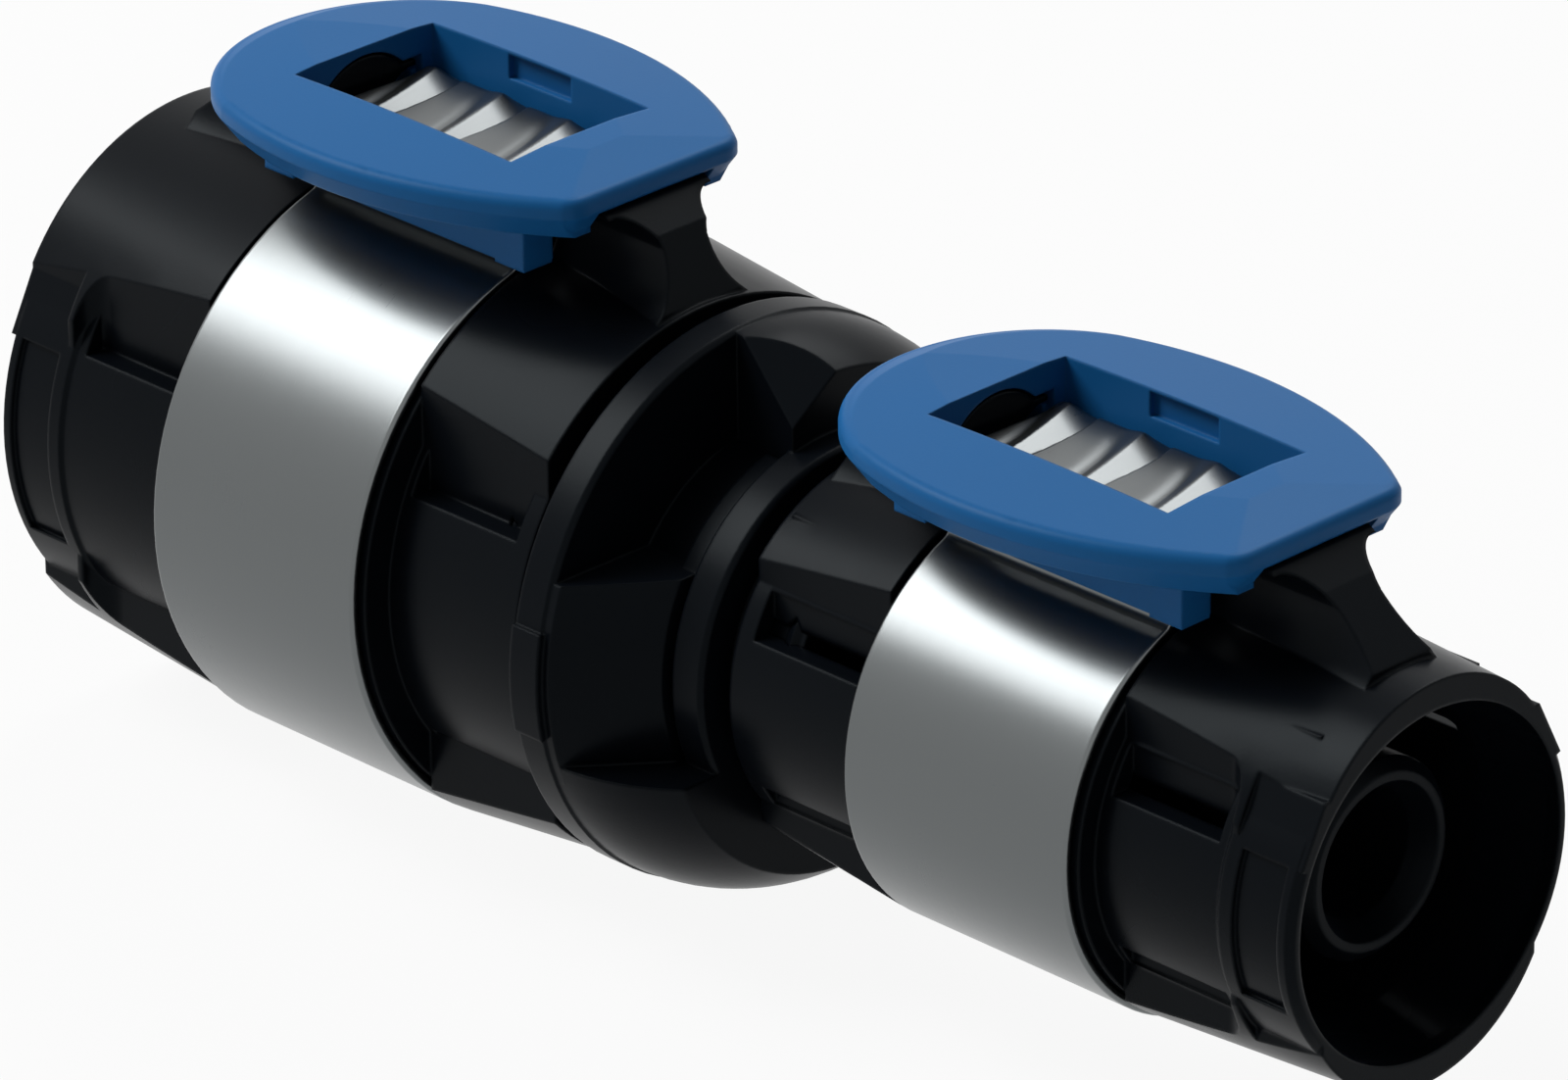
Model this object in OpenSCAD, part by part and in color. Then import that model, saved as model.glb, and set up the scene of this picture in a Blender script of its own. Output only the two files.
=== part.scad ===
// Press reducer for multilayer pipe: a moulded core with two pipe stubs, and on each stub
// two O-rings, a windowed sleeve, a steel press band with a crimped ear, and a press indicator.
// The pipe axis is X. The origin is on that axis, where the large pipe's end stops.

/* [Large pipe] */
// Outside diameter of the large pipe
large_pipe_d = 25; // [24:0.5:26]
// Wall of the large pipe
large_pipe_wall = 2.5; // [2.2:0.1:2.8]
// Radius of the passage through the large stub
large_bore_r = 7.9; // [7:0.1:8.2]
// Outer radius of the large press band
large_band_r = 18; // [17.5:0.1:19]
// Radial room between the large pipe and the sleeve's chambers
large_chamber_gap = 1.5; // [1.2:0.1:1.7]
// Thickness of the large sleeve's recessed side walls
large_side_wall = 1.5; // [1.2:0.1:1.8]
// Radius of the large sleeve's mouth, at its sides
large_mouth_r = 15.7; // [15.5:0.1:16]
// Height of the large sleeve's mouth above the axis
large_mouth_top = 17.3; // [17:0.1:17.6]
// Half the width of the large sleeve's top and bottom straps
large_strap_half = 12.6; // [11.5:0.1:13]
// Height above the axis of the large sleeve's side walls
large_wall_top = 6.5; // [5:0.1:7.5]
// Distance from the large pipe's stop to the sleeve's mouth
large_mouth = 45.3; // [44:0.1:47]

/* [Small pipe] */
// Outside diameter of the small pipe
small_pipe_d = 16; // [15:0.5:17]
// Wall of the small pipe
small_pipe_wall = 2; // [1.8:0.1:2.2]
// Radius of the passage through the small stub
small_bore_r = 3.9; // [3.5:0.1:4.1]
// Outer radius of the small press band
small_band_r = 12.8; // [12.4:0.1:13.4]
// Radial room between the small pipe and the sleeve's chambers
small_chamber_gap = 1.7; // [1.4:0.1:1.9]
// Thickness of the small sleeve's recessed side walls
small_side_wall = 1.2; // [1:0.1:1.4]
// Radius of the small sleeve's mouth, at its sides
small_mouth_r = 11.2; // [11:0.1:11.4]
// Height of the small sleeve's mouth above the axis
small_mouth_top = 12.3; // [12:0.1:12.5]
// Half the width of the small sleeve's top and bottom straps
small_strap_half = 8.5; // [8:0.1:8.8]
// Height above the axis of the small sleeve's side walls
small_wall_top = 4; // [3.2:0.1:4.8]
// Distance from the small pipe's stop to the sleeve's mouth
small_mouth = 44.3; // [43.5:0.1:46]

/* [Core] */
// Distance between the two pipe stops
stop_gap = 10; // [9.5:0.1:12]
// Thickness of each flange
flange_t = 2.5; // [2:0.1:3]
// Drop from a press band's radius to the flange beside it
flange_drop = 0.9; // [0.6:0.1:1.2]
// Chamfer on the flanges' edges
flange_edge = 0.25; // [0.1:0.05:0.4]
// Length of each pipe stub
stub_len = 40.6; // [39:0.1:42]
// Radial play between a stub and the inside of its pipe
stub_play = 0.1; // [0.05:0.01:0.2]
// Chamfer at a stub's tip
tip_chamfer = 0.7; // [0.3:0.1:1]
// Wall left at a stub's tip
tip_wall = 0.5; // [0.3:0.1:0.8]
// Length of the collar that carries a sleeve
collar_len = 5; // [4.5:0.1:5.5]
// Radial play between a collar and its sleeve
collar_play = 0.15; // [0.1:0.01:0.25]
// Height of the snap ridge on a collar
snap_h = 0.35; // [0.2:0.05:0.5]
// Radius of the neck between the flanges
neck_r = 10.5; // [10.3:0.1:10.7]
// Height of the hub's step above the neck
hub_step = 0.7; // [0.5:0.1:0.8]
// Length of the hub beside the small flange
hub_len = 1.5; // [1.2:0.1:2]
// Height above the axis of the ledge under the grip pocket
ledge_z = 6.1; // [5.5:0.1:7]
// Depth below the axis where the lower lobe begins
lobe_z = 5; // [4.5:0.1:5.5]
// Distance of the grip pocket's wall from the middle plane, at the large flange
pocket_wall = 1.2; // [0.8:0.1:1.6]
// Slant of that wall, for each mm away from the flange
pocket_slant = 0.25; // [0.1:0.01:0.3]
// Radius of the domed lobes' curve
dome_curve = 11.6; // [11:0.1:12.5]
// Length of the upper lobe from the large flange
upper_lobe = 5.6; // [5.2:0.1:6]
// Distance from the large flange to the start of the upper lobe's bevel
bevel_from = 0.9; // [0.6:0.1:1.2]
// Tilt of the bevel, along the axis
bevel_pitch = 32; // [30:1:34]
// Tilt of the bevel, across the axis
bevel_roll = 31; // [28:1:34]
// Width of the step where the shoulders begin
shoulder_step = 0.5; // [0.3:0.1:0.7]
// Drop of the shoulders' foot above the small flange
shoulder_foot = 0.3; // [0.2:0.1:0.5]
// Height of the keys on the large flange's rim
key_h = 0.3; // [0.2:0.05:0.4]
// Half the angle of a key
key_half = 11; // [8:1:14]

/* [Seals] */
// Distance from the pipe stop to the first O-ring
seal_first = 14.5; // [13.5:0.1:16]
// Distance between the two O-rings
seal_pitch = 8; // [6:0.1:10]
// Depth of an O-ring groove
groove_depth = 1.1; // [1:0.05:1.15]
// Height of an O-ring above its stub
seal_proud = 0.15; // [0.1:0.01:0.2]
// Play on each side of an O-ring in its groove
seal_play = 0.2; // [0.1:0.05:0.4]

/* [Press bands] */
// Width of a press band
band_w = 17; // [16:0.1:18]
// Thickness of the band's steel
band_t = 0.55; // [0.4:0.05:0.7]
// Distance from the pipe stop to the middle of the band
band_at = 20.65; // [20:0.05:21.5]
// Half the width of the band's ear
ear_half = 5.1; // [4.9:0.05:5.2]
// Height of the ear above the band
ear_rise = 4.1; // [3.6:0.1:4.3]
// Radius of the ear's corners
ear_corner = 1.4; // [1.1:0.1:1.6]
// Radius of the fold where the ear leaves the band
fold_r = 0.65; // [0.6:0.01:0.75]
// Distance of the fold's centre from the middle plane
fold_half = 5.2; // [5:0.05:5.3]
// Number of crimps pressed into the ear's top
crimp_count = 3; // [2:1:3]
// Distance between two crimps
crimp_pitch = 5.6; // [5:0.1:5.8]
// Radius of a crimp's bends
crimp_bend = 3.5; // [3:0.1:3.7]
// Angle of each bend
crimp_turn = 55; // [45:1:60]
// Radius of a crimp's section
crimp_r = 1.3; // [1.1:0.05:1.5]
// Height of a crimp above the ear
crimp_rise = 0.45; // [0.3:0.05:0.5]

/* [Sleeves] */
// Gap between a flange and its sleeve
sleeve_gap = 1.3; // [1:0.1:1.6]
// Drop of a sleeve's skin for each mm away from its band, towards the flange
stop_draft = 0.095; // [0.07:0.005:0.11]
// Gap between the band's edge and the sleeve's shoulder
shoulder_gap = 0.45; // [0.3:0.05:0.6]
// Radial play between the band and its seat
seat_play = 0.1; // [0.05:0.01:0.15]
// Radial play between the pipe and the sleeve's grip bore
pipe_play = 0.15; // [0.1:0.01:0.25]
// Thickness of the sides of the ring at the sleeve's mouth
mouth_wall = 0.8; // [0.6:0.1:1]
// Rise of the top and bottom straps' centres at the mouth
mouth_lift = 2.3; // [2:0.1:2.6]
// Chamfer on the edge of the mouth
mouth_edge = 0.4; // [0.2:0.1:0.5]
// Angle from the top at which the ring's flats meet its sides
flat_turn = 62; // [58:1:66]
// Angle over which a flat runs into the ring's side
flat_blend = 5; // [4:1:7]
// Depth of the recess in each side of the ring
recess_depth = 0.3; // [0.2:0.05:0.35]
// Distance of that recess from the ring's edges
recess_edge = 1; // [0.8:0.1:1.4]
// Length of the straight bore inside the mouth
mouth_straight = 1; // [0.6:0.1:1.4]
// Distance of the slots from the band
slot_end = 1; // [0.6:0.1:1.4]
// Length of the ring at the sleeve's mouth
mouth_ring = 5.3; // [4.5:0.1:6]
// Length of the taper that leads the pipe into the grip bore
lead_len = 1.6; // [1:0.1:2]
// Radius of the windows' corners
window_corner = 1.6; // [1:0.1:2]
// Length of the slope at a window's end
window_slope = 0.9; // [0.6:0.1:1.2]
// Width of the bridge between a slot and the flange's end of the sleeve
slot_bridge = 1.2; // [1:0.1:1.6]
// Depth below the axis where the lower slots begin, as a share of the upper slots' height
lower_slot = 1.33; // [1.2:0.01:1.4]
// Height of the slots above the sleeve's side walls
slot_h = 2.6; // [2:0.1:3]
// Number of slits that let the grip bore close
slit_count = 6; // [4:2:8]
// Width of a slit
slit_w = 1.2; // [0.8:0.1:1.6]
// Wall left outside the slits
slit_skin = 1.6; // [1.3:0.1:2]

/* [Posts] */
// Half the thickness of a post's web
post_half = 1.7; // [1.5:0.05:2.2]
// Radius of the hollow between a post and its sleeve
saddle_r = 4.6; // [3.6:0.1:5]
// Depth below the band where that hollow runs out
saddle_drop = 1.3; // [1.2:0.1:1.5]
// Half the width of a post's head
head_half = 4; // [3.6:0.1:4.2]
// Height of a post's head above the band
post_rise = 4.5; // [4.3:0.05:4.6]
// Distance from the band's middle to a head's outer edge
head_reach = 15.1; // [14.6:0.1:15.2]
// Thickness of a head's edge
head_edge = 0.3; // [0.2:0.05:0.5]
// Radius under a post's head
head_curve = 2.1; // [1.8:0.1:2.3]
// Length of the slanted lip under a head
toe_len = 2.2; // [1.8:0.1:2.6]
// Depth of that lip
toe_drop = 1.4; // [1.1:0.1:1.7]
// Distance from the band's middle to the post's foot, at the mouth
mouth_foot = 21.2; // [20.5:0.1:22]
// Distance from the band's middle to the post's foot, at the flange
stop_foot = 18.9; // [18:0.1:19]
// Height of the post's rounded nose in the indicator, above the band
nose_rise = 5.8; // [5.4:0.1:5.9]
// Length of the nose
nose_len = 2.6; // [2:0.1:3]
// Gap between the band and the post
post_gap = 0.6; // [0.5:0.05:0.8]

/* [Indicators] */
// Length of the indicator's window
window_len = 18.1; // [17.8:0.1:18.4]
// Width of the indicator's window
window_w = 10.82; // [10.6:0.02:11]
// Height of the window's upper edge above the band
window_rise = 6.53; // [6.45:0.02:6.6]
// Drop of the top from the window to the rim
crown = 0.5; // [0.3:0.05:0.6]
// Half the width of the indicator
body_half = 12; // [11.5:0.1:12.5]
// Radius of the indicator's long sides
side_r = 27; // [26:0.5:28]
// Distance of the widest point from the window's middle, towards the round end
side_shift = 1; // [0.5:0.1:1.5]
// Distance from the window's middle to the round end
bow = 16.7; // [16.2:0.1:17.2]
// Distance from the window's middle to the square end
stern = 15.4; // [15:0.1:15.8]
// Radius of the square end's corners
stern_r = 2; // [1.5:0.1:2.5]
// Radius of the rounded rim
rim_round = 0.6; // [0.4:0.1:0.8]
// Height of the upright rim's foot above the band
rim_low = 4.9; // [4.8:0.1:5.1]
// Height of the skirt's foot above the band
skirt_rise = 3.4; // [3.2:0.1:3.8]
// Inward slope of the skirt
skirt_in = 1.1; // [0.8:0.1:1.4]
// Distance of the crease from the edge, at the round end
crease = 2; // [1.6:0.1:2.4]
// Thickness of the indicator's walls
wall = 1.35; // [1.2:0.05:1.5]
// Height of the seats over the posts' heads, above the band
seat_rise = 4.75; // [4.7:0.01:4.8]
// Room on each side of a post's head
seat_side = 0.5; // [0.3:0.1:0.6]
// Height of the hanging walls above the band
collar_rise = 0.8; // [0.6:0.1:1.2]
// Extra length of the hanging walls at the square end
foot_extra = 1; // [0.8:0.1:1.2]
// Height of the corner feet above the band
foot_rise = 0.6; // [0.2:0.1:0.7]
// Length of a corner foot
foot_len = 2.4; // [2.2:0.1:2.6]
// Width of a corner foot
foot_w = 2.2; // [1.8:0.1:2.2]
// Play between the indicator's arch and the post's nose
clip_play = 0.2; // [0.15:0.01:0.3]
// Length of the recess in each long wall of the window
panel_len = 5.2; // [4:0.1:6]
// Depth of that recess
panel_depth = 0.4; // [0.3:0.1:0.6]
// Height of that recess
panel_h = 1.5; // [1.2:0.1:1.6]
// Height of the recess's lower edge above the band
panel_rise = 4.8; // [4.5:0.1:4.9]
// Width of the level top at the window's square end
ridge = 1.8; // [1.4:0.1:2.2]

/* [Hidden] */
$fn = 96;
black = "#17181a";
steel = "#b4b6b8";
blue = "#3a6ca5";
rubber = "#26282a";
// Overlap that joins shapes of one piece
bite = 0.01;
// Reach of a cutting shape past the piece it cuts
far = 60;
large_flange_r = large_band_r - flange_drop;
small_flange_r = small_band_r - flange_drop;
large_grip_r = large_pipe_d / 2 + pipe_play;
small_grip_r = small_pipe_d / 2 + pipe_play;
large_chamber_r = large_pipe_d / 2 + large_chamber_gap;
small_chamber_r = small_pipe_d / 2 + small_chamber_gap;
large_stub_r = large_pipe_d / 2 - large_pipe_wall - stub_play;
small_stub_r = small_pipe_d / 2 - small_pipe_wall - stub_play;
seal_r = (groove_depth + seal_proud) / 2 - bite;
seal_places = [seal_first, seal_first + seal_pitch];
band_low = band_at - band_w / 2;
band_high = band_at + band_w / 2;
rim_rise = window_rise - crown;
bow_half = bow - side_shift;
bow_r = (2 * side_r * body_half - pow(body_half, 2) - pow(bow_half, 2)) / 2 / (side_r - bow_half);
bow_x = bow_r - bow;
// Overlap by which the outline's arcs cross
poke = 0.05;
bow_from = -side_shift - side_r / (side_r - bow_r) * (-side_shift - bow_x);
stern_y = body_half - side_r + poke / 2 + sqrt(pow(side_r - stern_r, 2) - pow(stern - stern_r + side_shift, 2));
corner_from = stern - stern_r + stern_r * (stern - stern_r + side_shift) / (side_r - stern_r);
roof_slope = body_half - window_w / 2;
hub_from = stop_gap - flange_t - hub_len;
post_inner = band_w / 2 + post_gap;

// Local frames: x runs from the pipe stop to the mouth, and z points to the indicator
module at_large() { rotate([0, 0, 180]) children(); }
module at_small() { translate([stop_gap, 0, 0]) children(); }

// A shaft along x, and a taper along x
module shaft(x0, x1, r) { translate([x0, 0, 0]) rotate([0, 90, 0]) cylinder(h = x1 - x0, r = r); }
module taper(x0, x1, r0, r1) {
    translate([x0, 0, 0]) rotate([0, 90, 0]) cylinder(h = x1 - x0, r1 = r0, r2 = r1);
}
// A section in y and z, carried along x
module along(x0, x1) { translate([x0, 0, 0]) rotate([90, 0, 90]) linear_extrude(x1 - x0) children(); }
// A profile of radius and x, turned about the pipe axis
module turned() { rotate([0, 90, 0]) rotate_extrude() children(); }
// The space from x0 to x1 that lies above z0
module above(x0, x1, z0) { translate([x0, -far, z0]) cube([x1 - x0, 2 * far, far]); }

// Core: stubs, collars, flanges, neck and lobes in one moulding
module stub(r, grip_r, chamber_r) {
    collar_r = chamber_r - collar_play;
    difference() {
        union() {
            shaft(-bite, collar_len, collar_r);
            snap_ridge(collar_r);
        }
        shaft(0, 2 * collar_len, grip_r);
    }
    difference() {
        union() {
            turned() polygon([
                [0, -bite], [r, -bite], [r, stub_len - tip_chamfer], [r - tip_chamfer, stub_len], [0, stub_len]
            ]);
        }
        for (at = seal_places)
            seal_groove(at, r);
    }
}

module snap_ridge(r) {
    taper(collar_len - 4 * snap_h, collar_len - 2 * snap_h, r, r + snap_h);
    taper(collar_len - 2 * snap_h, collar_len, r + snap_h, r - snap_h);
}

module seal_groove(at, r) {
    half = seal_r + seal_play;
    difference() {
        shaft(at - half, at + half, r + groove_depth);
        shaft(at - 2 * half, at + 2 * half, r - groove_depth);
    }
}

// The way for the water, through both stubs
module passage() {
    large_tip = large_stub_r - tip_chamfer - tip_wall;
    small_tip = small_stub_r - tip_chamfer - tip_wall;
    small_end = stop_gap + stub_len;
    turned() polygon([
        [0, -stub_len - tip_chamfer], [large_tip, -stub_len - tip_chamfer], [large_tip, -stub_len],
        [large_bore_r, 2 * (large_tip - large_bore_r) - stub_len], [large_bore_r, 0], [small_bore_r, stop_gap],
        [small_bore_r, small_end - 2 * (small_tip - small_bore_r)], [small_tip, small_end],
        [small_tip, small_end + tip_chamfer], [0, small_end + tip_chamfer]
    ]);
}

module flange(x0, r) {
    translate([x0, 0, 0]) turned() polygon([
        [0, 0], [r - flange_edge, 0], [r, flange_edge], [r, flange_t - flange_edge], [r - flange_edge, flange_t],
        [0, flange_t]
    ]);
}

module dome() {
    turned() intersection() {
        translate([large_flange_r - flange_edge / 2 - dome_curve, flange_t]) circle(dome_curve);
        translate([0, flange_t / 2]) square([large_flange_r, stop_gap - flange_t / 2]);
    }
}

// The upper lobe, beside the grip pocket
module upper_lobe_part() {
    difference() {
        intersection() {
            dome();
            translate([0, 0, ledge_z]) linear_extrude(far) polygon([
                [flange_t / 2, -pocket_wall], [flange_t + upper_lobe, -pocket_wall - pocket_slant * upper_lobe],
                [flange_t + upper_lobe, far], [flange_t / 2, far]
            ]);
        }
        translate([flange_t + bevel_from, -pocket_wall, large_flange_r - 10 * bite])
            rotate([bevel_roll, bevel_pitch, 0])
            translate([-far / 2, -far / 2, 0]) cube(far);
    }
}

// The lower lobe runs on to the end of the small flange
module lower_lobe_part() {
    intersection() {
        dome();
        translate([0, -far, -far - lobe_z]) cube([stop_gap, 2 * far, far]);
    }
}

// The steep shoulders on both sides, under the ledge
module shoulders() {
    top_r = large_flange_r - flange_edge / 2;
    foot_r = small_flange_r + shoulder_foot;
    foot = stop_gap - flange_t - shoulder_foot;
    intersection() {
        turned() polygon([
            [0, flange_t / 2], [top_r, flange_t / 2], [top_r, flange_t + shoulder_step], [foot_r, foot], [0, foot]
        ]);
        translate([0, -far, -lobe_z - flange_t / 2]) cube([stop_gap, 2 * far, ledge_z + lobe_z + flange_t / 2]);
    }
}

module neck() {
    shaft(flange_t / 2, stop_gap - flange_t / 2, neck_r);
    difference() {
        shaft(hub_from, stop_gap - flange_t / 2, neck_r + hub_step);
        translate([0, -pocket_wall - pocket_slant * upper_lobe, 0]) cube([stop_gap, far, far]);
    }
}

module rim_keys() {
    for (side = [0, 180])
        rotate([side + 90, 0, 0]) rotate([-key_half, 0, 0]) rotate([0, 90, 0])
            rotate_extrude(angle = 2 * key_half)
            translate([large_flange_r - 3 * key_h, flange_edge]) square([4 * key_h, flange_t - flange_edge]);
}

module core_body() {
    color(black) difference() {
        union() {
            at_large() stub(large_stub_r, large_grip_r, large_chamber_r);
            at_small() stub(small_stub_r, small_grip_r, small_chamber_r);
            flange(0, large_flange_r);
            flange(stop_gap - flange_t, small_flange_r);
            neck();
            shoulders();
            upper_lobe_part();
            lower_lobe_part();
            rim_keys();
        }
        passage();
    }
}

// Seals
module seal(r) {
    color(rubber) rotate([0, 90, 0]) rotate_extrude()
        translate([r + seal_proud - seal_r, 0]) circle(seal_r);
}

// Press band: a strip ring whose ends rise into a folded ear
module ring_outline(r, t) {
    fold_z = sqrt(pow(r + fold_r, 2) - pow(fold_half, 2));
    top = r + ear_rise - band_t + t;
    half = ear_half - band_t + t;
    corner = ear_corner - band_t + t;
    circle(r - band_t + t);
    difference() {
        polygon([[-fold_half, 0], [fold_half, 0], [fold_half, fold_z], [-fold_half, fold_z]]);
        for (side = [-1, 1])
            translate([side * fold_half, fold_z]) circle(fold_r + band_t - t);
    }
    low = fold_z + fold_r + band_t - t;
    difference() {
        union() {
            translate([-half, low]) square([2 * half, top - low - corner]);
            translate([-half + corner, low]) square([2 * (half - corner), top - low]);
            for (side = [-1, 1])
                translate([side * (half - corner), top - corner]) circle(corner);
            translate([fold_r - fold_half, fold_z - bite])
                square([2 * (fold_half - fold_r), low - fold_z + 2 * bite]);
        }
        for (side = [-1, 1])
            translate([side * fold_half, fold_z]) circle(fold_r + band_t - t);
    }
}

// A crimp: two bends that form an S across the ear, with round ends
module crimp(r) {
    for (side = [0, 180])
        rotate(side) translate([crimp_bend, 0]) rotate([0, 0, 180 - crimp_turn]) {
            rotate_extrude(angle = crimp_turn) translate([crimp_bend, 0]) circle(r);
            translate([crimp_bend, 0, 0]) sphere(r - bite);
        }
}

module band(r) {
    ear_top = r + ear_rise;
    color(steel) {
        along(-band_w / 2, band_w / 2) difference() {
            ring_outline(r, band_t);
            ring_outline(r, 0);
        }
        intersection() {
            for (i = [0 : crimp_count - 1])
                translate([(i - (crimp_count - 1) / 2) * crimp_pitch, 0, ear_top - crimp_r + crimp_rise])
                    crimp(crimp_r);
            above(-band_w / 2, band_w / 2, ear_top - band_t / 2);
        }
    }
}

// Sleeve: straps above and below over a round cage, with side windows and two posts
module strap_skin(r, mouth, mouth_top) {
    run = mouth - band_high;
    end_r = mouth_top - mouth_lift;
    taper(sleeve_gap, band_low, r - (band_low - sleeve_gap) * stop_draft, r);
    shaft(band_low - bite, band_high + bite, r);
    for (side = [0, 1])
        mirror([0, 0, side]) intersection() {
            translate([band_high, 0, 0]) rotate([0, -atan(mouth_lift / run), 0])
                taper(0, 1.2 * run, r, r - 1.2 * (r - end_r));
            above(band_high - shoulder_gap, mouth, r / 3);
        }
}

// Plan of the straps, with the windows' corners rounded
module strap_plan(half, mouth) {
    from = mouth - mouth_ring - window_corner;
    difference() {
        union() {
            translate([0, -half]) square([mouth, 2 * half]);
            translate([from, -half - window_corner])
                square([window_corner + window_slope / 2, 2 * (half + window_corner)]);
        }
        for (side = [-1, 1])
            translate([from, side * (half + window_corner)]) circle(window_corner);
    }
}

module mouth_ring_body(side_r, strap_half, mouth) {
    from = mouth - mouth_ring;
    flat_z = (side_r - strap_half * sin(flat_turn)) / cos(flat_turn);
    low_turn = flat_turn + flat_blend;
    low_r = side_r - 2 * bite;
    difference() {
        turned() polygon([
            [0, from - window_slope], [side_r - window_slope, from - window_slope], [side_r, from],
            [side_r, mouth - mouth_edge], [side_r - mouth_edge, mouth], [0, mouth]
        ]);
        difference() {
            translate([from + recess_edge, -far, -low_r * cos(low_turn)])
                cube([mouth_ring - 2 * recess_edge, 2 * far, 2 * low_r * cos(low_turn)]);
            shaft(from, mouth, side_r - recess_depth);
        }
    }
    along(from, mouth) for (side = [-1, 1])
        polygon([
            [0, 0], [side * low_r * sin(low_turn), low_r * cos(low_turn)],
            [side * strap_half, flat_z], [0, flat_z]
        ]);
}

module sleeve_hollow(grip_r, chamber_r, mouth_r, mouth) {
    mouth_bore = mouth_r - mouth_wall;
    turned() polygon([
        [0, 0], [chamber_r, 0], [chamber_r, band_low + lead_len], [grip_r, band_low + 2 * lead_len],
        [grip_r, band_high - 2 * lead_len], [chamber_r, band_high - lead_len], [chamber_r, mouth - mouth_ring],
        [mouth_bore, mouth - mouth_straight], [mouth_bore, mouth + mouth_straight], [0, mouth + mouth_straight]
    ]);
}

// Slots above and below the side walls, on both sides of the band
module wall_slots(wall_top, mouth) {
    for (span = [
        [sleeve_gap + slot_bridge, band_low - slot_end], [band_high + slot_end, mouth - mouth_ring - window_slope]
    ])
        for (side = [-1, 1]) {
            y0 = side > 0 ? 0 : -far;
            translate([span[0], y0, wall_top]) cube([span[1] - span[0], far, slot_h]);
            translate([span[0], y0, -lower_slot * wall_top - slot_h / 2]) cube([span[1] - span[0], far, slot_h / 2]);
        }
}

module grip_slits(r) {
    for (i = [0 : slit_count - 1])
        rotate([(i + 0.5) * 360 / slit_count, 0, 0])
            translate([band_low, -slit_w / 2, 0]) cube([band_w, slit_w, r - slit_skin]);
}

module post_section(r, top) {
    saddle_y = post_half + saddle_r;
    saddle_z = sqrt(pow(r + saddle_r, 2) - pow(saddle_y, 2));
    difference() {
        translate([-saddle_y, r / 2]) square([2 * saddle_y, saddle_z - r / 2]);
        for (side = [-1, 1])
            translate([side * saddle_y, saddle_z]) circle(saddle_r);
    }
    translate([-post_half, r / 2]) square([2 * post_half, top - r / 2]);
    difference() {
        translate([-head_half, top - head_curve]) square([2 * head_half, head_curve]);
        for (side = [-1, 1])
            translate([side * (post_half + head_curve), top - head_curve - head_edge]) circle(head_curve);
    }
}

// A post, for the band's middle at x = 0, with its foot at the given distance
module post(r, foot, foot_drop) {
    top = r + post_rise;
    intersection() {
        along(post_inner, foot) post_section(r - saddle_drop, top);
        rotate([90, 0, 0]) linear_extrude(2 * far, center = true) polygon([
            [0, 0], [foot, 0], [foot, r - foot_drop], [head_reach + toe_len, top - toe_drop],
            [head_reach, top], [0, top]
        ]);
    }
    along(post_inner, post_inner + nose_len) difference() {
        translate([0, r + nose_rise - head_half]) circle(head_half);
        translate([-far, -far]) square([2 * far, far + r + post_rise - head_edge]);
    }
}

module sleeve(grip_r, band_r, chamber_r, side_wall, mouth_r, mouth_top, strap_half, wall_top, mouth) {
    skin_r = band_r - bite;
    seat_r = band_r - band_t - seat_play;
    floor_r = chamber_r + side_wall;
    color(black) difference() {
        union() {
            intersection() {
                strap_skin(skin_r, mouth, mouth_top);
                translate([0, 0, -far]) linear_extrude(2 * far) strap_plan(strap_half, mouth);
            }
            difference() {
                shaft(sleeve_gap, mouth - mouth_ring + bite, floor_r);
                wall_slots(wall_top, mouth);
            }
            mouth_ring_body(mouth_r, strap_half, mouth);
            difference() {
                shaft(band_low - shoulder_gap, band_high + shoulder_gap, seat_r);
                shaft(0, far, floor_r - side_wall / 2);
            }
            translate([band_at, 0, 0]) post(band_r, mouth_foot, 0.3);
            translate([band_at, 0, 0]) mirror([1, 0, 0]) post(band_r, stop_foot, 1);
        }
        difference() {
            shaft(band_low - shoulder_gap, band_high + shoulder_gap, band_r + 2 * ear_rise);
            shaft(0, far, seat_r);
        }
        sleeve_hollow(grip_r, chamber_r, mouth_r, mouth);
        snap_ridge(chamber_r);
        grip_slits(seat_r);
    }
}

// Indicator: a boat-shaped frame that stands round the ear and sits on the posts.
// Half a section of its rim, for an arc of radius r whose top slopes over the given run
module rim_section(r, run) {
    polygon([
        [0, skirt_rise], [r - skirt_in, skirt_rise], [r, rim_low], [r, rim_rise - rim_round],
        [r - rim_round, rim_rise], [r - run, window_rise], [0, window_rise]
    ]);
    translate([r - rim_round, rim_rise - rim_round]) circle(rim_round);
}

module hollow_section(r) {
    polygon([
        [0, skirt_rise - 1], [r - skirt_in - wall, skirt_rise - 1], [r - skirt_in - wall, skirt_rise],
        [r - wall, seat_rise], [0, seat_rise]
    ]);
}

// The space past x0, as tall as the indicator
module past(x0) { translate([x0, -far / 2, 0]) cube([far, far, far]); }

module frame_blank() {
    intersection() {
        translate([-side_shift, body_half - side_r, 0]) rotate_extrude() rim_section(side_r, roof_slope);
        translate([-side_shift, side_r - body_half, 0]) rotate_extrude() rim_section(side_r, roof_slope);
        union() {
            translate([bow_x, 0, 0]) rotate_extrude() rim_section(bow_r + poke, crease);
            past(bow_from);
        }
        union() {
            rotate([90, 0, 0]) linear_extrude(2 * stern_y, center = true) rim_section(stern, 2 * rim_round);
            for (side = [-1, 1])
                translate([stern - stern_r, side * stern_y, 0]) rotate_extrude() rim_section(stern_r, 2 * rim_round);
            mirror([1, 0, 0]) past(-corner_from);
        }
        stern_roof();
    }
}

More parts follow.
